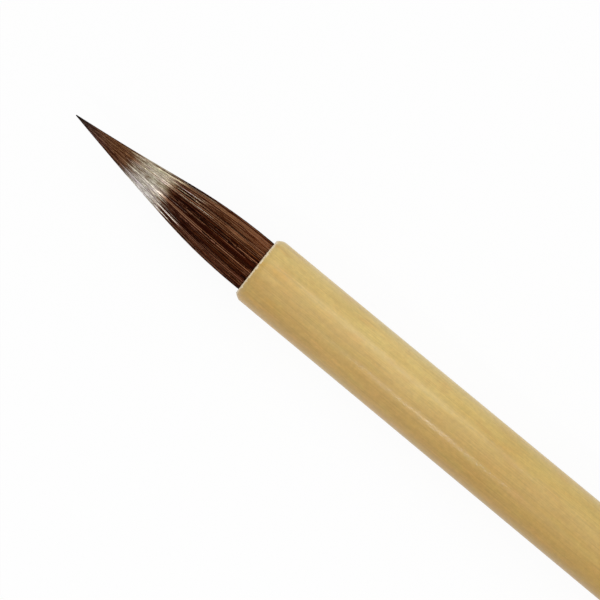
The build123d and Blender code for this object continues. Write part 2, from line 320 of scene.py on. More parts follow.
class Nodes:
    """A new material or world by its nodes, with short calls for the nodes that are used here."""

    def __init__(self, name, owners=bpy.data.materials, shader="Principled BSDF"):
        self.owner = owners.new(name)
        self.owner.use_nodes = True
        self.tree = self.owner.node_tree
        self.shader = self.tree.nodes[shader]

    def feed(self, socket, value):
        """Sets an input to a number or a colour, or links it to another node's output."""
        if isinstance(value, bpy.types.NodeSocket):
            self.tree.links.new(value, socket)
        else:
            socket.default_value = value

    def make(self, kind, inputs, **settings):
        """A new node, its inputs given by name or number."""
        node = self.tree.nodes.new(kind)
        for key, value in settings.items():
            setattr(node, key, value)
        for key, value in inputs.items():
            self.feed(node.inputs[key], value)
        return node

    def set(self, **values):
        """Sets the shader's own inputs. An underscore stands for a space in a name."""
        for name, value in values.items():
            self.feed(self.shader.inputs[name.replace("_", " ")], value)

    def attribute(self, name):
        return self.make("ShaderNodeAttribute", {}, attribute_name=name).outputs["Fac"]

    def place(self, *scale):
        """The row frame's coordinates in millimetres, times a scale on each axis."""
        metres = self.make("ShaderNodeTexCoord", {}).outputs["Object"]
        inputs = {"Vector": metres, "Scale": [axis / MM for axis in scale]}
        return self.make("ShaderNodeMapping", inputs).outputs["Vector"]

    def noise(self, vector, scale=1.0, detail=2.0, roughness=0.5):
        inputs = {"Vector": vector, "Scale": scale, "Detail": detail, "Roughness": roughness}
        return self.make("ShaderNodeTexNoise", inputs).outputs["Fac"]

    def grain(self, along, across, **settings):
        """Noise of so fine a grain along the brush and across it."""
        return self.noise(self.place(along, across, across), **settings)

    def cells(self, vector):
        """Distance to the nearest of scattered points."""
        inputs = {"Vector": vector, "Scale": 1.0}
        return self.make("ShaderNodeTexVoronoi", inputs).outputs["Distance"]

    def parts(self, vector):
        return self.make("ShaderNodeSeparateXYZ", {"Vector": vector}).outputs

    def vector(self, x, y, z):
        return self.make("ShaderNodeCombineXYZ", {"X": x, "Y": y, "Z": z}).outputs["Vector"]

    def math(self, operation, first, second=0.0, third=0.0):
        inputs = {0: first, 1: second, 2: third}
        return self.make("ShaderNodeMath", inputs, operation=operation).outputs["Value"]

    def product(self, first, *others):
        """All the given values multiplied."""
        for value in others:
            first = self.math("MULTIPLY", first, value)
        return first

    def weigh(self, first, *others):
        """The sum of (value, weight) pairs, each value times its weight."""
        total = self.math("MULTIPLY", *first)
        for pair in others:
            total = self.math("ADD", total, self.math("MULTIPLY", *pair))
        return total

    def spread(self, value, low, high, to_low=0.0, to_high=1.0):
        """Maps low..high smoothly to to_low..to_high, and holds the ends beyond them."""
        inputs = {"Value": value, "From Min": low, "From Max": high}
        inputs |= {"To Min": to_low, "To Max": to_high}
        node = self.make("ShaderNodeMapRange", inputs, interpolation_type="SMOOTHSTEP")
        return node.outputs["Result"]

    def ramp(self, value, low, high, stops):
        """A colour through (place, sRGB colour) stops, for a value that runs from low to high."""
        inputs = {"Value": value, "From Min": low, "From Max": high}
        share = self.make("ShaderNodeMapRange", inputs).outputs["Result"]
        node = self.make("ShaderNodeValToRGB", {"Fac": share})
        elements = node.color_ramp.elements
        while len(elements) < len(stops):
            elements.new(0.5)
        for element, (place, colour) in zip(elements, stops):
            element.position = (place - low) / (high - low)
            element.color = linear(*colour)
        return node.outputs["Color"]

    def mix(self, factor, first, second, blend="MIX"):
        inputs = {"Fac": factor, "Color1": first, "Color2": second}
        return self.make("ShaderNodeMixRGB", inputs, blend_type=blend).outputs["Color"]

    def shade(self, colour, brightness):
        """A colour times a brightness that varies."""
        return self.mix(1.0, colour, self.vector(brightness, brightness, brightness), "MULTIPLY")

    def bump(self, height, strength, distance, layer="Normal"):
        """Relief from a height of 0 to 1 that stands for a distance in millimetres."""
        inputs = {"Height": height, "Strength": strength, "Distance": distance * MM}
        normal = self.make("ShaderNodeBump", inputs).outputs["Normal"]
        self.feed(self.shader.inputs[layer], normal)

    def seen_plainly(self):
        """1 for what the camera sees, also in a gloss or through clear things, and 0 for light."""
        ray = self.make("ShaderNodeLightPath", {}).outputs
        seen = self.math("MAXIMUM", ray["Is Camera Ray"], ray["Is Glossy Ray"])
        return self.math("MAXIMUM", seen, ray["Is Transmission Ray"])


def behind_mouth(*distances):
    """The x of places so far behind the handle's mouth."""
    return [mouth_x + distance for distance in distances]


# ---- materials
def bamboo_skin(m, x, y, light):
    """The skin's colour: lighter to +Y as painted light, riper at the mouth, tinted, older to the
    rear, flecked.
    """
    # Painted light: the skin is lighter and more orange towards +Y, where the light falls.
    side = m.spread(y, -mouth_radius, mouth_radius)
    patches = m.grain(0.07, 0.25, detail=3)
    colour = m.ramp(m.weigh((side, 0.62), (patches, 0.38)), 0.1, 0.9, BAMBOO_SKIN_LIT_TO_PLUS_Y)
    ripe = m.spread(m.grain(0.16, 0.5, detail=2), 0.42, 0.72)
    near_mouth = m.spread(x, *behind_mouth(0.8, 9.0), 0.7, 0.2)
    colour = m.mix(m.product(ripe, near_mouth), colour, linear(*BAMBOO_RIPE))
    tints = m.grain(0.22, 0.45, detail=3, roughness=0.6)
    colour = m.mix(m.spread(tints, 0.5, 0.75, 0.0, 0.3), colour, linear(*BAMBOO_ORANGE))
    colour = m.mix(m.spread(tints, 0.5, 0.25, 0.0, 0.22), colour, linear(*BAMBOO_GREENISH))
    older = m.spread(x, *behind_mouth(26.0, 50.0))
    colour = m.mix(older, m.shade(colour, light), BAMBOO_AGED_TINT, "MULTIPLY")
    fleck_field = m.cells(m.place(0.16, 0.55, 0.55))
    fleck_here = m.spread(m.grain(0.07, 0.3), 0.52, 0.68)
    flecks = m.product(m.spread(fleck_field, 0.05, 0.16, 0.45, 0.0), fleck_here)
    return m.mix(flecks, colour, linear(*BAMBOO_FLECK))


def bamboo_cut(m):
    """The colour of a cut end, pale pith with dark bundles, and how far it takes over the skin."""
    bundles = m.cells(m.place(0.3, 3.2, 3.2))
    pith = m.grain(1.0, 3.0, detail=4, roughness=0.65)
    colour = m.ramp(pith, 0.3, 0.7, BAMBOO_PITH)
    colour = m.mix(m.spread(bundles, 0.1, 0.32, 0.75, 0.0), colour, linear(*BAMBOO_BUNDLE))
    ragged = m.grain(0.8, 3.0, detail=5, roughness=0.7)
    reach = m.math("ADD", m.attribute("cut_end"), m.spread(ragged, 0.25, 0.75, -0.42, 0.4))
    return colour, m.spread(reach, 0.3, 0.74)


def bamboo_material():
    """Polished bamboo skin: fine lengthwise fibres, soft mottling, pale fibrous cut ends."""
    m = Nodes("bamboo_polished")
    x, y = m.parts(m.place(1, 1, 1))[:2]
    fibres = m.grain(0.22, 3.8, detail=4, roughness=0.65)
    grain = m.grain(0.04, 1.3, detail=3)
    mottle = m.grain(1.2, 1.5, detail=5, roughness=0.7)
    hairlines = m.grain(0.11, 7.5, detail=3, roughness=0.6)
    light = m.product(
        m.spread(fibres, 0.3, 0.7, 0.95, 1.045),
        m.spread(grain, 0.3, 0.7, 0.965, 1.03),
        m.spread(mottle, 0.3, 0.7, 0.93, 1.06),
        m.spread(hairlines, 0.32, 0.6, 0.92, 1.02),
        m.spread(x, *behind_mouth(20.0, 62.0), 1.0, 0.93),
    )
    cut_colour, cut = bamboo_cut(m)
    skin_roughness = m.spread(fibres, 0.3, 0.7, 0.34, 0.46)
    m.set(Base_Color=m.mix(cut, bamboo_skin(m, x, y, light), cut_colour))
    m.set(Roughness=m.math("ADD", skin_roughness, m.math("MULTIPLY", cut, 0.35)))
    m.set(Specular_IOR_Level=0.35, Coat_Weight=0.2, Coat_Roughness=0.14)
    grit = m.grain(2.0, 2.8, detail=3, roughness=0.6)
    m.bump(m.weigh((fibres, 0.4), (mottle, 0.3), (grit, 0.3)), 0.65, 0.035)
    m.bump(m.weigh((grit, 0.7), (hairlines, 0.3)), 0.7, 0.045, "Coat Normal")
    return m.owner


def fibre_material():
    """Torn ends of bamboo fibre round the mouth."""
    m = Nodes("bamboo_fibre")
    streak = m.grain(2.0, 9.0, detail=2)
    m.set(Base_Color=m.ramp(streak, 0.3, 0.7, FIBRE_COLOURS))
    m.set(Roughness=m.spread(streak, 0.3, 0.7, 0.55, 0.75))
    m.bump(streak, 0.3, 0.02)
    return m.owner


def plug_material():
    """Dark turned hardwood, oiled: growth rings across its ends, pores, and fine tool marks."""
    m = Nodes("plug_wood_turned")
    x, y, z = m.parts(m.place(1, 1, 1))

    def away(side, height):
        """Distance from a line along the brush that is at y = side and height above its axis."""
        across = m.math("POWER", m.math("SUBTRACT", y, side), 2.0)
        above = m.math("POWER", m.math("SUBTRACT", z, axis_z + height), 2.0)
        return m.math("SQRT", m.math("ADD", across, above))

    wander = m.grain(0.15, 0.5, detail=2)
    growth = m.math("ADD", away(*PLUG_HEART), m.math("MULTIPLY", wander, 1.4))
    ring_place = m.vector(growth, 0.0, m.math("MULTIPLY", x, 0.02))
    rings = m.noise(ring_place, scale=2.4, detail=3, roughness=0.6)
    figure = m.grain(0.2, 3.0, detail=4, roughness=0.65)
    wood = m.weigh((rings, 0.65), (figure, 0.35))
    pores = m.spread(m.cells(m.place(0.5, 6.5, 6.5)), 0.08, 0.2, 0.8, 0.0)
    m.set(Base_Color=m.mix(pores, m.ramp(wood, 0.32, 0.68, PLUG_WOOD), linear(*PLUG_PORE)))
    m.set(Roughness=m.spread(figure, 0.3, 0.7, 0.36, 0.5))
    m.set(Specular_IOR_Level=0.3, Coat_Weight=0.12, Coat_Roughness=0.2)
    tool_marks = m.noise(m.vector(away(0.0, 0.0), 0.0, 0.0), scale=7.0, detail=2)
    m.bump(m.weigh((tool_marks, 0.6), (wood, 0.4)), 0.5, 0.04)
    return m.owner


def thread_material():
    """Raw silk thread, stained a little by the glue."""
    m = Nodes("binding_silk")
    fuzz = m.grain(14.0, 14.0, detail=2)
    stain = m.grain(0.6, 0.6, detail=2)
    colour = m.ramp(stain, 0.3, 0.7, SILK)
    m.set(Base_Color=m.shade(colour, m.spread(fuzz, 0.3, 0.7, 0.8, 1.05)))
    m.set(Roughness=m.spread(fuzz, 0.3, 0.7, 0.5, 0.7), Sheen_Weight=0.3)
    m.bump(fuzz, 0.5, 0.02)
    return m.owner


def resin_material(name, colours, roughness):
    """Hard resin or glue, cloudy inside, with a slightly uneven skin."""
    m = Nodes(name)
    cloud = m.grain(0.9, 0.9, detail=4, roughness=0.6)
    pits = m.grain(5.0, 5.0, detail=2)
    m.set(Base_Color=m.ramp(cloud, 0.3, 0.7, colours))
    m.set(Roughness=m.spread(pits, 0.3, 0.7, roughness, roughness + 0.15), Coat_Weight=0.3)
    m.bump(pits, 0.4, 0.05)
    return m.owner


def hair_material(name, brightness):
    """Banded animal hair. Each hair brings its band place, its tone and its share of painted warm
    light.

    Where the band is dark, the brightest hairs are mixed to a pale dull brown, a painted sheen, and
    the deepest tones turn redder. Broad patches lean to purple and to olive.
    """
    m = Nodes(name)
    place = m.attribute("hair_place")
    last_place = HAIR_IN_WARM_LIGHT[-1][0]
    # Painted light: the band's colours in warm light at +Y and in cool light at -Y, mixed by each
    # hair's share.
    warm = m.ramp(place, 0.0, last_place, HAIR_IN_WARM_LIGHT)
    cool = m.ramp(place, 0.0, last_place, HAIR_IN_COOL_LIGHT)
    colour = m.mix(m.attribute("hair_warmth"), cool, warm)
    along = m.grain(0.3, 5.6, detail=4, roughness=0.7)
    breaks = m.grain(0.8, 6.5, detail=3, roughness=0.7)
    streaks = m.spread(along, 0.32, 0.7, 0.42, 1.95)
    tone = m.product(m.attribute("hair_tone"), streaks, m.spread(breaks, 0.32, 0.68, 0.78, 1.2))
    tone = m.product(m.math("MINIMUM", tone, 4.0), brightness)
    dark = m.spread(m.parts(colour)[1], 0.06, 0.25, 1.0, 0.0)
    tone = m.math("POWER", tone, m.math("ADD", 0.78, m.math("MULTIPLY", dark, 0.22)))
    # Painted sheen: where the band is dark, the brightest hairs are mixed to a pale dull brown.
    painted_sheen = m.product(m.spread(tone, 1.2, 3.8, 0.0, 0.6), dark)
    deep = m.product(m.spread(tone, 1.0, 0.3), m.math("MULTIPLY_ADD", dark, 0.6, 0.4))
    colour = m.mix(deep, colour, DEEP_TINT, "MULTIPLY")
    colour = m.mix(painted_sheen, m.shade(colour, tone), linear(*PAINTED_SHEEN_HAIR))
    hue = m.grain(0.1, 1.6, detail=4, roughness=0.7)
    colour = m.mix(m.spread(hue, 0.5, 0.72), colour, PURPLE_TINT, "MULTIPLY")
    colour = m.mix(m.spread(hue, 0.5, 0.28), colour, OLIVE_TINT, "MULTIPLY")
    m.set(Base_Color=colour, Roughness=m.spread(along, 0.3, 0.7, 0.4, 0.52))
    m.set(Specular_IOR_Level=0.03)
    m.bump(along, 0.3, 0.01)
    return m.owner


# ---- mesh helpers
def add_object(name, data):
    """A new object in the scene."""
    made = bpy.data.objects.new(name, data)
    bpy.context.scene.collection.objects.link(made)
    return made


def add_piece(name, points, faces, look, *nodes):
    """A mesh object from points in millimetres, riding on the brush in place of CAD nodes.

    look is its material and the name of the record's slot that it stands for; that name is not
    used.
    """
    material, slot = look
    mesh = bpy.data.meshes.new(name)
    mesh.from_pydata(np.asarray(points) * MM, [], faces)
    mesh.materials.append(material)
    mesh.shade_smooth()
    piece = add_object(name, mesh)
    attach(piece, BODY)
    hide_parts(*nodes)
    return piece


def add_attribute(piece, name, values):
    """A number at each of a mesh's points, for its material."""
    attribute = piece.data.attributes.new(name, "FLOAT", "POINT")
    attribute.data.foreach_set("value", np.asarray(values, np.float32))


def add_bake_uv(piece, corners):
    """A UV map named OFBake: a (corners, 2) array in the order of the mesh's loops."""
    layer = piece.data.uv_layers.new(name="OFBake")
    layer.data.foreach_set("uv", np.clip(corners, 0, 1).astype(np.float32).ravel())


def tube(base, rings, sides):
    """The faces of a tube from its first point's number: its sides, its first and its last end."""
    quads = []
    for ring in range(rings - 1):
        low = base + ring * sides
        high = low + sides
        for side in range(sides):
            after = (side + 1) % sides
            quads.append((low + side, low + after, high + after, high + side))
    first = tuple(base + side for side in reversed(range(sides)))
    last = tuple(base + (rings - 1) * sides + side for side in range(sides))
    return quads, first, last


def around_axis(x, radius, angle):
    """The x, y and z of places at a radius and an angle round the brush's axis."""
    return x, radius * np.cos(angle), axis_z + radius * np.sin(angle)


def arc(centre, radii, start, end, steps):
    """Points of an elliptical arc in the (x, radius) plane, between two angles in degrees."""
    turn = np.radians(np.linspace(start, end, steps + 1))
    return [(centre[0] + radii[0] * math.cos(a), centre[1] + radii[1] * math.sin(a)) for a in turn]


def lathe_map(outline, around, side_runs):
    """The map of a turned mesh: its long outer side gets most of it, and all the rest a strip."""
    rings = len(outline)
    lengths = np.hypot(*(np.roll(outline, -1, axis=0) - outline).T)
    side = np.zeros(rings, bool)
    side[list(side_runs)] = True
    other_place = np.concatenate([[0], np.cumsum(np.where(side, 0, lengths))])
    side_place = np.concatenate([[0], np.cumsum(np.where(side, lengths, 0))])
    corners = []
    for ring in range(rings):
        for step in range(around):
            low, high = step / around, (step + 1) / around
            if side[ring]:
                near, far = side_place[ring : ring + 2] / side_place[-1]
                low, high = MAP_SIDE * low, MAP_SIDE * high
                corners += [(near, low), (near, high), (far, high), (far, low)]
            else:
                strip = other_place[ring : ring + 2] / other_place[-1]
                near, far = MAP_REST + (1 - MAP_REST) * strip
                corners += [(low, near), (high, near), (high, far), (low, far)]
    return np.array(corners)


def lathe(name, profile, around, look, node, wobble=None, skew=0.0, cut=None, side_runs=()):
    """A turned mesh from a closed outline of (x, radius) points, with a gentle unevenness.

    skew cuts the mouth askew: forward at +Y and back at -Y, by so much. cut is each outline point's
    share of cut wood. side_runs names the points that make the long outer side.
    """
    outline = np.array(profile, float)
    rings = len(outline)
    angle = np.arange(around) / around * TURN
    x, radius = outline[:, 0:1], outline[:, 1:2]
    if wobble is not None:
        radius = radius + wobble(x, angle)
    x = x - skew * np.cos(angle) * np.clip(1 - (x - mouth_x) / SKEW_LENGTH, 0, 1)
    points = np.stack(around_axis(x, radius, angle), axis=-1)
    faces = []
    for ring in range(rings):
        here, after = ring * around, (ring + 1) % rings * around
        for step in range(around):
            turn = (step + 1) % around
            faces.append((here + step, here + turn, after + turn, after + step))
    piece = add_piece(name, points.reshape(-1, 3), faces, look, node)
    if cut is not None:
        add_attribute(piece, "cut_end", np.repeat(cut, around))
    add_bake_uv(piece, lathe_map(outline, around, side_runs))
    return piece


# ---- handle
def handle_radius(x):
    """The culm's outer radius: straight at the front, then swelling evenly to the tail."""
    share = np.clip((x - straight_end_x) / (tail_x - TAIL_ROUND - straight_end_x), 0, 1)
    return mouth_radius + (tail_radius - mouth_radius) * share


def culm_outside():
    """The outside of the culm's outline: the mouth's sanded bevel, the side and the round tail."""
    along, across = MOUTH_BEVEL
    bevel = []
    for turn in np.radians(np.linspace(0, 90, 13)):
        forward = math.cos(turn) ** (2 / BEVEL_FULLNESS)
        outward = math.sin(turn) ** (2 / BEVEL_FULLNESS)
        bevel.append((mouth_x + along * (1 - forward), mouth_radius - across * (1 - outward)))
    side_x = np.linspace(mouth_x + along, tail_x - TAIL_ROUND, CULM_RINGS)[1:-1]
    side = [(x, handle_radius(x)) for x in side_x]
    tail_centre = (tail_x - TAIL_ROUND, tail_radius - TAIL_ROUND)
    return [*bevel, *side, *arc(tail_centre, (TAIL_ROUND, TAIL_ROUND), 90, 0, 10)]


def culm_inside():
    """The inside of its outline, from the tail: the hollow, a cone, the socket and its rim."""
    socket_radius = mouth_radius - MOUTH_WALL
    floor_x = mouth_x + SOCKET_DEPTH
    cone_end = floor_x + (socket_radius - LUMEN_RADIUS)
    return [
        (tail_x, LUMEN_RADIUS + LUMEN_CHAMFER),
        (tail_x - LUMEN_CHAMFER, LUMEN_RADIUS),
        *[(x, LUMEN_RADIUS) for x in np.linspace(tail_x - 10, cone_end + 6, 12)],
        (cone_end, LUMEN_RADIUS),
        (floor_x, socket_radius),
        *[(x, socket_radius) for x in behind_mouth(9.0, 5.0, 2.0, 0.6, RIM_CHAMFER)],
        (mouth_x + RIM_CHAMFER / 3, socket_radius + RIM_CHAMFER / 3),
        (mouth_x, socket_radius + RIM_CHAMFER),
    ]


def bamboo_handle():
    """The culm, sanded round at both ends, a touch uneven as scraped bamboo is."""
    outside = culm_outside()
    profile = [*outside, *culm_inside()]
    outer = len(outside) - 1
    cut = np.ones(len(profile))
    cut[1:outer] = 0.0
    cut[: len(MOUTH_CUT)] = MOUTH_CUT
    cut[outer - len(TAIL_CUT) : outer] = TAIL_CUT
    flats = [(count, random.uniform(0, TURN)) for count in FLATS]

    def wobble(x, angle):
        """Scraping leaves slight flats that wander along the culm, and none at its mouth."""
        total = OVAL_DEPTH * np.sin(2 * angle + 0.02 * x)
        for count, start in flats:
            drift = 0.03 * count * np.sin(x / 31 + start)
            total = total + FLAT_DEPTH * np.sin(count * angle + start + drift)
        total = total + WANDER_DEPTH * np.sin(x / 17 + 1.0) * np.sin(angle + x / 40)
        calm_mouth = np.clip((x - mouth_x) / CALM_LENGTH, 0, 1)
        calm_tail = np.clip((tail_x - x) / CALM_LENGTH, 0, 1)
        return (total + SCRAPED_RISE) * (calm_mouth * calm_tail)

    look = bamboo_material(), "bamboo"
    rest = {"wobble": wobble, "skew": MOUTH_SKEW, "cut": cut, "side_runs": range(outer)}
    return lathe("bamboo_handle", profile, CULM_AROUND, look, "handle_culm", **rest)


def mouth_fibres():
    """Short torn fibres round the inner edge of the mouth, where the reamer came out."""
    socket_radius = mouth_radius - MOUTH_WALL
    points, faces = [], []
    for number in range(FIBRES):
        angle = (number + random.uniform(-0.4, 0.4)) / FIBRES * TURN
        radius = socket_radius + random.uniform(*FIBRE_DEPTH)
        length = random.uniform(*FIBRE_LENGTH)
        width = random.uniform(*FIBRE_RADIUS)
        lean = random.uniform(-FIBRE_LEAN, FIBRE_LEAN)
        base = len(points)
        mouth = mouth_x - MOUTH_SKEW * math.cos(angle)
        rings = ((mouth + FIBRE_ROOT, 1.0), (mouth - 0.5 * length, 0.8), (mouth - length, 0.25))
        for x, size in rings:
            bend = lean * (mouth - x)
            for corner in range(4):
                turn = corner / 4 * TURN + 0.6
                r = radius + width * size * math.cos(turn) + 0.3 * bend
                a = angle + (width * size * math.sin(turn) + bend) / radius
                points.append(around_axis(x, r, a))
        quads, first, last = tube(base, len(rings), 4)
        faces += [*quads, last, first]
    look = fibre_material(), "bamboo"
    return add_piece("mouth_fibres", points, faces, look, "handle_culm")


def turned_plug():
    """The tail plug: shank, flange and crown, with soft edges, two grooves and a fine step."""
    flange = plug_high[1]
    shank = LUMEN_RADIUS - PLUG_CLEARANCE
    seat = tail_x
    tip = plug_low[0]
    crown_x = seat + PLUG_FLANGE_EDGE
    sphere = (flange**2 + PLUG_CROWN**2) / (2 * PLUG_CROWN)
    lip = cord_hole_radius + CORD_HOLE_LIP

    def crown(radius):
        return crown_x + PLUG_CROWN - sphere + math.sqrt(sphere**2 - radius**2)

    dome = []
    for radius in np.linspace(flange - PLUG_SOFT_EDGE, lip + 0.05, 90):
        near = min(abs(radius - groove * flange) for groove in PLUG_GROOVES) / PLUG_GROOVE_HALF
        dome.append((crown(radius) - PLUG_GROOVE_DEPTH * max(0.0, 1 - near**2) ** 2, radius))
    profile = [
        (tip, cord_hole_radius + PLUG_SOFT_EDGE),
        (tip, shank - PLUG_SHANK_CHAMFER),
        (tip + PLUG_SHANK_CHAMFER, shank),
        *[(x, shank) for x in np.linspace(tip + 2, seat - 0.3, 8)],
        (seat - 0.02, shank),
        (seat, shank + PLUG_SOFT_EDGE),
        (seat, flange - 0.08),
        (seat + 0.03, flange - 0.02),
        (seat + PLUG_SOFT_EDGE, flange),
        (crown_x - 0.16, flange),
        (crown_x - 0.1, flange - 0.05),
        (crown_x - 0.04, flange - 0.05),
        (crown_x, flange - 0.02),
        *dome,
        (crown(lip) - 0.02, lip - 0.04),
        (crown(lip) - 0.1, cord_hole_radius + 0.08),
        (crown(lip) - CORD_HOLE_LIP, cord_hole_radius),
        *[(x, cord_hole_radius) for x in np.linspace(seat, tip + 1, 6)],
    ]
    look = plug_material(), "plug_wood"
    return lathe("turned_plug", profile, PLUG_AROUND, look, "tail_plug")


# ---- thread
def plied_thread():
    """The silk thread round the roots: twisted plies that keep to the CAD thread's room."""
    start = thread_low[0] + THREAD_THICKNESS / 2
    end = thread_high[0] - THREAD_THICKNESS / 2
    steps = THREAD_STEPS * THREAD_TURNS
    ply_radius = THREAD_THICKNESS / 2 * PLY_SHARE
    points, faces = [], []
    for ply in range(THREAD_PLIES):
        base = len(points)
        for step in range(steps + 1):
            turn = step / steps * THREAD_TURNS
            x = end + (start - end) * turn / THREAD_TURNS
            hair = float(tuft_outline(np.array(x - point_x)))
            centre = hair + THREAD_CLEARANCE + THREAD_THICKNESS / 2
            twist = TURN * (turn * PLY_TWISTS + ply / THREAD_PLIES)
            angle = TURN * turn
            for side in range(PLY_SIDES):
                lay = side / PLY_SIDES * TURN
                radius = centre + ply_radius * (PLY_OFFSET * math.cos(twist) + math.cos(lay))
                shift = ply_radius * (PLY_OFFSET * math.sin(twist) + math.sin(lay))
                points.append(around_axis(x + shift, radius, angle))
        quads, first, last = tube(base, steps + 1, PLY_SIDES)
        faces += [*quads, first, last]
    look = thread_material(), "thread"
    return add_piece("plied_thread", points, faces, look, "binding_thread")


# ---- hair
def tuft_outline(behind):
    """The tuft's radius at places behind its point: straight cone, shoulder, narrowing root."""
    shoulder_end = free_length - PARALLEL_HAIR
    shoulder_start = shoulder_end - SHOULDER_LENGTH
    slope = 2 * (tuft_radius - POINT_RADIUS) / (shoulder_start + shoulder_end)
    curve = np.clip(behind - shoulder_start, 0, SHOULDER_LENGTH) ** 2 / (2 * SHOULDER_LENGTH)
    cone = POINT_RADIUS + slope * (np.minimum(behind, shoulder_end) - curve)
    narrowing = (tuft_radius - root_radius) / (hair_length - free_length)
    return cone - narrowing * np.maximum(behind - free_length, 0)


def tuft_lean(behind):
    """How far the tuft's middle stands towards +Y at places behind its point."""
    return POINT_LEAN * np.clip(1 - behind / LEAN_LENGTH, 0, 1.1) ** 1.5


class Locks:
    """Bundles of hair side by side round the tuft, which differ a little in colour and banding."""

    def __init__(self, count):
        edges = np.sort((np.arange(count) + random.uniform(-LOCK_STRAY, LOCK_STRAY, count)) / count)
        self.centre = edges * TURN
        self.tone, self.front_shift, self.rear_shift = random.normal(0, 1, (3, count))
        random.uniform(0, 1, count)  # keeps the later draws, and so the hairs, as they are

    def of(self, angle):
        """The nearest lock to each angle, and the signed distance to its middle in lock widths."""
        gaps = (angle[:, None] - self.centre[None, :] + math.pi) % TURN - math.pi
        nearest = np.abs(gaps).argmin(axis=1)
        signed = gaps[np.arange(len(angle)), nearest]
        return nearest, signed / (TURN / len(self.centre))

    def groove(self, angle):
        """From 0 in the middle of a lock to 1 between two locks."""
        return np.clip(np.abs(self.of(angle)[1]) * 2, 0, 1) ** 3


wide_locks = Locks(WIDE_LOCK_COUNT)
locks = Locks(LOCK_COUNT)
strips = Locks(STRIP_COUNT)


def warmth(angle):
    """From 0 to 1: painted light, warm and yellow on the +Y side and cool and grey on the -Y side.
    """
    return 0.5 + 0.45 * np.cos(angle - 0.25)


def pale_runs(angle, luck):
    """Which hairs' pale band runs on towards the handle, and each hair's luck over its chance.

    Most of them are at the tuft's two sides, and more at +Y, but few are right on the rims.
    """
    side = np.abs(np.cos(angle))
    chance = RUN_CHANCE + (RUN_SIDES + RUN_PLUS_Y * np.cos(angle)) * side**2
    on_rim = np.clip((side - RUN_RIM_START) / RUN_RIM_WIDTH, 0, 1)
    chance = chance * (1 - RUN_RIM_LOSS * on_rim)
    return luck < chance, luck / chance


def hair_brightness(angle, tone, s):
    """How bright hairs of a tone are at given angles, all along them: painted shade at the edges,
    rim, top and bottom, and a painted sheen at the sides.
    """
    plus_y = np.cos(angle)[:, None]
    side, top = np.abs(plus_y), np.abs(np.sin(angle))[:, None]
    contrast = TONE_CONTRAST * np.interp(s, TONE_PLACES, TONE_SHARES)
    # Painted shade on the two side edges and on the rim behind the pale band.
    edge = EDGE_SHADE * side**EDGE_POWER * np.interp(s, EDGE_PLACES, EDGE_SHARES)
    rim = (1 + RIM_PLUS_Y * plus_y) * side**RIM_POWER
    edge = edge + RIM_SHADE * rim * np.interp(s, RIM_PLACES, RIM_SHARES)
    # Painted shade on hair facing up or down, and a painted sheen on hair at the two sides.
    shade = top**2 * np.interp(s, ROUND_PLACES, TOP_SHADES)
    gleam = (GLEAM + GLEAM_PLUS_Y * plus_y) * side**2 * np.interp(s, ROUND_PLACES, SIDE_GLEAMS)
    return np.exp(contrast * tone[:, None] - edge) * (1 - shade) * (1 + gleam)


def hair_looks(angle, own, s):
    """Brightness and place on the bands of hairs at given angles, all along them.

    own holds each hair's own tone, band shift and luck. Hairs of one strip, lock and wide lock are
    alike. The bands start and stop raggedly, and on some hairs the pale band runs on.
    """
    own_tone, own_shift, luck = own
    strip, lock, wide_lock = (group.of(angle)[0] for group in (strips, locks, wide_locks))
    plus_y = np.cos(angle)
    side, top = np.abs(plus_y), np.abs(np.sin(angle))
    runs_on, run_share = pale_runs(angle, luck)

    tone = STRIP_TONE * strips.tone[strip] + OWN_TONE * own_tone + LOCK_TONE * locks.tone[lock]
    tone = tone + WIDE_LOCK_TONE * wide_locks.tone[wide_lock]
    # Painted shade: darker facing +Y, up or down, and lighter facing -Y.
    tone = tone + PLUS_Y_SHADE_TONE * plus_y + TOP_SHADE_TONE * top + MEAN_TONE
    tone = tone + (RUN_TONE_PLUS_Y * plus_y + RUN_TONE) * runs_on

    front = STRIP_FRONT * strips.front_shift[strip] + LOCK_FRONT * locks.front_shift[lock]
    front = front + OWN_FRONT * own_shift
    front = front + (SIDE_FRONT + SIDE_FRONT_PLUS_Y * plus_y) * side**2 + TOP_FRONT * top

    rear = STRIP_REAR * strips.rear_shift[strip] + LOCK_REAR * locks.rear_shift[lock]
    rear = rear + OWN_REAR * own_shift
    run = RUN_LEAST + (RUN_SPREAD + RUN_SPREAD_PLUS_Y * plus_y) * run_share**RUN_POWER
    rear = rear - runs_on * run
    at_side = np.clip((side - SIDE_REAR_START) / SIDE_REAR_WIDTH, 0, 1)
    rear = rear + MEAN_REAR + PLUS_Y_REAR * plus_y + SIDE_REAR * at_side

    blend = np.clip((s - BAND_MIDDLE) / BAND_CHANGE, 0, 1)
    shift = front[:, None] * (1 - blend) + rear[:, None] * blend
    grown = np.clip((s - SHIFT_START) / SHIFT_GROWTH, 0, 1)
    return hair_brightness(angle, tone, s), s + shift * grown


def strand_points(theta, radius, half, s):
    """The points of hairs from their middles' angles and radii at places s, and half thickness."""
    lay = np.arange(STRAND_SIDES) / STRAND_SIDES * TURN
    out = radius[..., None] + half[..., None] * np.cos(lay)
    across = half[..., None] * np.sin(lay)
    cos, sin = np.cos(theta)[..., None], np.sin(theta)[..., None]
    x = np.repeat((point_x + s)[..., None], STRAND_SIDES, axis=2)
    y = out * cos - across * sin + tuft_lean(s)[..., None]
    z = out * sin + across * cos
    return np.stack([x, y, axis_z + z], axis=-1).reshape(-1, 3)


def strand_faces(count):
    """The faces of so many hairs: all their sides, then all front ends, then all back ends."""
    per_hair = STRAND_STATIONS * STRAND_SIDES
    tubes = [tube(hair * per_hair, STRAND_STATIONS, STRAND_SIDES) for hair in range(count)]
    quads, fronts, backs = zip(*tubes)
    return [*(quad for hair in quads for quad in hair), *fronts, *backs]


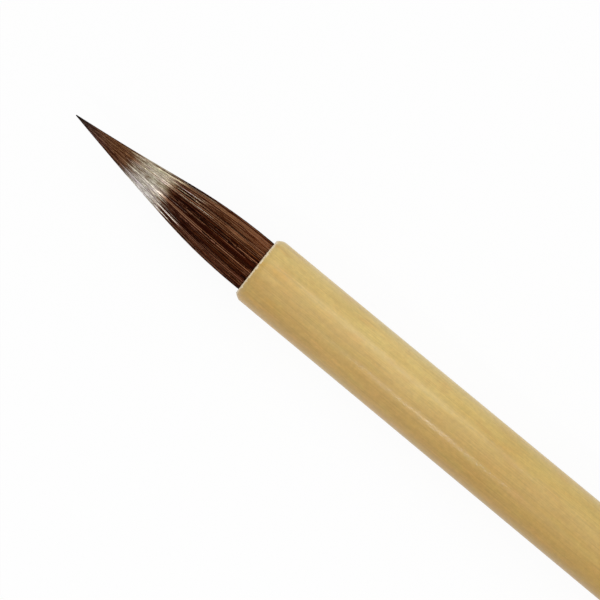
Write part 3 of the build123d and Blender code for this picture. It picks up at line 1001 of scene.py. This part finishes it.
def strand_map(count):
    """The map of so many hairs: each has a column, and its sides lie next to each other in it."""
    column = (np.arange(count) % MAP_COLUMNS + 0.5) / MAP_COLUMNS
    around = np.linspace(-0.3, 0.3, STRAND_SIDES + 1) / MAP_COLUMNS
    left, right = around[:-1], around[1:]
    height = np.linspace(0.01, 0.99, STRAND_STATIONS)
    low, high = height[:-1], height[1:]
    u = column[:, None, None, None] + np.stack([left, right, right, left], axis=1)
    v = np.stack([low, low, high, high], axis=1)[:, None, :]
    sides = np.stack(np.broadcast_arrays(u, v), axis=-1).reshape(-1, 2)
    cap_u = np.repeat(column, STRAND_SIDES)
    caps = [np.stack([cap_u, np.full(len(cap_u), end)], axis=1) for end in (height[0], height[-1])]
    return np.concatenate([sides, *caps])


def hair_strands(name, count, share, ends, width, look, node, mean_tone=1.0):
    """Separate tapered hairs, laid from the root to their fine ends along the tuft's outline.

    Pairs are least and most: share is how deep they lie, as shares of the outline's radius, ends
    how far behind the point they end, most near the least, and width their thickness, most thin.
    """
    angle = (np.arange(count) + random.uniform(-0.5, 0.5, count)) / count * TURN
    random.shuffle(angle)
    end = ends[0] + (ends[1] - ends[0]) * random.uniform(0, 1, (count, 1)) ** 1.7
    depth = share[0] + (share[1] - share[0]) * np.sqrt(random.uniform(0, 1, (count, 1)))
    depth -= LOCK_GROOVE * locks.groove(angle)[:, None]
    thickness = width[0] + (width[1] - width[0]) * random.uniform(0, 1, (count, 1)) ** 2
    sway = random.normal(0, 1, (count, 2))
    swing = random.uniform(0, TURN, (count, 2))
    s = end + (hair_length - end) * np.linspace(0, 1, STRAND_STATIONS)

    def wave(size, length, draw):
        """A wave along each hair, its size and its start by one of the hair's draws."""
        return size * sway[:, draw, None] * np.sin(s / length + swing[:, draw, None])

    taper = np.clip((s - end) / STRAND_TAPER, 0, 1)
    half = thickness / 2 * (STRAND_END + (1 - STRAND_END) * taper * (2 - taper))
    radius = np.maximum(np.maximum(tuft_outline(s), 0.02) * depth - half, 0.3 * half)
    radius = radius * (1 + wave(*WAVE_OUT, 0))
    bend = wave(*WAVE_SLOW, 0) + wave(*WAVE_QUICK, 1)
    off = locks.of(angle)[1][:, None] * TURN / LOCK_COUNT
    pull = LOCK_PULL * np.clip((s - PULL_START) / PULL_GROWTH, 0, 1)
    points = strand_points(angle[:, None] + bend - off * pull, radius, half, s)
    piece = add_piece(name, points, strand_faces(count), look, node)

    own = (*random.normal(0, 1, (2, count)), random.uniform(0, 1, count))
    brightness, place = hair_looks(angle, own, s)
    # Each hair's share of the painted warm light at +Y, moved by its own tint.
    warm = np.clip(warmth(angle) + WARMTH_SPREAD * random.normal(0, 1, count), 0, 1)
    add_attribute(piece, "hair_place", np.repeat(place, STRAND_SIDES))
    add_attribute(piece, "hair_tone", np.repeat(mean_tone * brightness, STRAND_SIDES))
    add_attribute(piece, "hair_warmth", np.repeat(warm, STRAND_STATIONS * STRAND_SIDES))
    add_bake_uv(piece, strand_map(count))
    return piece


def packed_hair(name, share, look, *nodes):
    """The mass of hair under the coat, as one ridged body: its ridges run from root to point."""
    around, stations = PACKED_AROUND, PACKED_STATIONS
    angle = np.arange(around) / around * TURN
    ridge = random.normal(0, 1, around)
    ridge = 0.5 * ridge + 0.25 * (np.roll(ridge, 1) + np.roll(ridge, -1))
    groove = locks.groove(angle)
    along = np.linspace(0.004, 1, stations - 1) ** 1.1
    s = np.concatenate([[PACKED_START], PACKED_START + (hair_length - 1.0) * along])
    depth = share * (1 - PACKED_GROOVE * groove + PACKED_RIDGE * ridge)
    radius = tuft_outline(s)[:, None] * depth
    radius[0] *= 0.25
    x, y, z = around_axis((point_x + s)[:, None], radius, angle)
    points = np.stack(np.broadcast_arrays(x, y + tuft_lean(s)[:, None], z), axis=-1)
    quads, first, last = tube(0, stations, around)
    piece = add_piece(name, points.reshape(-1, 3), [*quads, first, last], look, *nodes)

    own = (ridge, ridge, np.ones(around))
    brightness, place = hair_looks(angle, own, np.tile(s, (around, 1)))
    # Painted shade: the packed mass is darker than the coat, and darker still in the grooves
    # between locks.
    brightness = PACKED_SHADE_TONE * brightness * (1 - 0.3 * groove[:, None])
    add_attribute(piece, "hair_place", place.T.ravel())
    add_attribute(piece, "hair_tone", brightness.T.ravel())
    add_attribute(piece, "hair_warmth", np.tile(warmth(angle), stations))
    u = np.stack([s[:-1], s[:-1], s[1:], s[1:]], axis=1)[:, None, :] / hair_length * 0.98
    step = np.arange(around)
    v = np.stack([step, step + 1, step + 1, step], axis=1)[None] / around * 0.96
    sides = np.stack(np.broadcast_arrays(u, v), axis=-1).reshape(-1, 2)
    disc = 0.98 + 0.015 * np.stack([np.cos(angle), np.sin(angle)], axis=1)
    add_bake_uv(piece, np.concatenate([sides, disc[::-1], disc]))
    return piece


def tuft():
    """All the hair: a coat in three pieces, the belly's hair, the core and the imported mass."""
    coat = hair_material("hair_banded", 1.0), "banded_hair"
    inner = hair_material("hair_inner", 0.9), "inner_hair"
    core = hair_material("hair_core", 0.9), "core_hair"
    for letter, ends in COAT_ENDS.items():
        name = f"coat_hairs_{letter}"
        hair_strands(name, COAT_HAIRS, COAT_DEPTH, ends, COAT_WIDTH, coat, "cover_hairs", COAT_TONE)
    belly = waist_x - point_x
    ends = (belly, belly + WAIST_SPREAD)
    hair_strands("waist_bundle", WAIST_HAIRS, WAIST_DEPTH, ends, INNER_WIDTH, inner, "waist_hairs")
    depth = (CORE_DEPTH[0], CORE_DEPTH[1] * core_radius / tuft_radius)
    hair_strands("core_bundle", CORE_HAIRS, depth, CORE_ENDS, INNER_WIDTH, core, "core_hairs")
    packed_hair("packed_hair", PACKED_SHARE, inner, "waist_hairs", "core_hairs")


def seal_and_glue():
    """The hidden resin button and the glue keep their CAD shapes and get their own finish."""
    seal = resin_material("seal_resin", RESIN, 0.18)
    glue = resin_material("socket_hide_glue", HIDE_GLUE, 0.22)
    for node, material in (("root_seal", seal), ("socket_glue", glue)):
        for slot in frame["nodes"][node].material_slots:
            slot.material = material


# ---- light, floor and camera
def floor():
    """A white table. It lights the brush from below, and shows white but for the brush's shadow."""
    mesh = bpy.data.meshes.new("floor")
    size = FLOOR_HALF
    corners = [(-size, -size, 0), (size, -size, 0), (size, size, 0), (-size, size, 0)]
    mesh.from_pydata(corners, [], [(0, 1, 2, 3)])
    add_object("floor", mesh)
    m = Nodes("white_table")
    m.set(Base_Color=linear(*FLOOR_COLOUR), Roughness=0.9, Specular_IOR_Level=0.1)
    white = m.make("ShaderNodeEmission", {"Strength": 1.0}).outputs["Emission"]
    share = m.product(m.seen_plainly(), FLOOR_WHITE)
    inputs = {0: share, 1: m.shader.outputs["BSDF"], 2: white}
    blend = m.make("ShaderNodeMixShader", inputs).outputs["Shader"]
    m.feed(m.tree.nodes["Material Output"].inputs["Surface"], blend)
    mesh.materials.append(m.owner)


def world():
    """Even soft light from all round, and plain white wherever the camera or a gloss sees it."""
    tent = Nodes("light_tent", bpy.data.worlds, "Background")
    inputs = {"Value": tent.seen_plainly(), "To Min": TENT_LIGHT, "To Max": 1.0}
    strength = tent.make("ShaderNodeMapRange", inputs).outputs["Result"]
    tent.set(Color=(1, 1, 1, 1), Strength=strength)
    bpy.context.scene.world = tent.owner


def lamp(name, place, tilt, distance, size, share, colour=(1, 1, 1)):
    """A soft lamp over a place behind the point, tilted by so many degrees from upright to +Y.

    share is how much of a white surface's full brightness it gives there.
    """
    tilt = math.radians(tilt)
    light = bpy.data.lights.new(name, "AREA")
    light.shape = "RECTANGLE"
    light.size, light.size_y = size[0] * MM, size[1] * MM
    light.energy = share * math.pi**2 * (distance * MM) ** 2
    light.color = colour
    hung = add_object(name, light)
    hung.location = (
        (point_x + place) * MM,
        distance * math.sin(tilt) * MM,
        (axis_z + distance * math.cos(tilt)) * MM,
    )
    hung.rotation_euler = (-tilt, 0, 0)


def lamps():
    """A broad soft box, a long warm strip at +Y, and a small near one at -Y for the highlight."""
    lamp("softbox_top", place=45, tilt=8, distance=900, size=(700, 700), share=0.2)
    warm = (1.0, 0.96, 0.92)
    lamp("strip_plus_y", place=76, tilt=39.5, distance=520, size=(70, 150), share=0.1, colour=warm)
    lamp("strip_minus_y", place=81, tilt=-33, distance=200, size=(9, 4), share=0.1)


def camera():
    """Straight down on the brush, turned as in the photograph, from far off through a long lens."""
    lens = bpy.data.cameras.new("camera")
    lens.lens = LENS
    lens.sensor_width = SENSOR
    lens.clip_start = 0.01
    lens.clip_end = 20.0
    distance = PHOTO_WIDTH * LENS / SENSOR
    eye = add_object("camera", lens)
    eye.location = (
        (point_x + PHOTO_MIDDLE - PHOTO_RISE * math.sin(PHOTO_TURN)) * MM,
        PHOTO_RISE * math.cos(PHOTO_TURN) * MM,
        (axis_z + distance) * MM,
    )
    eye.rotation_euler = (0, 0, PHOTO_TURN)
    bpy.context.scene.camera = eye


camera()
world()
lamps()
floor()
bamboo_handle()
mouth_fibres()
turned_plug()
tuft()
plied_thread()
seal_and_glue()

bpy.context.scene.view_settings.view_transform = "Standard"
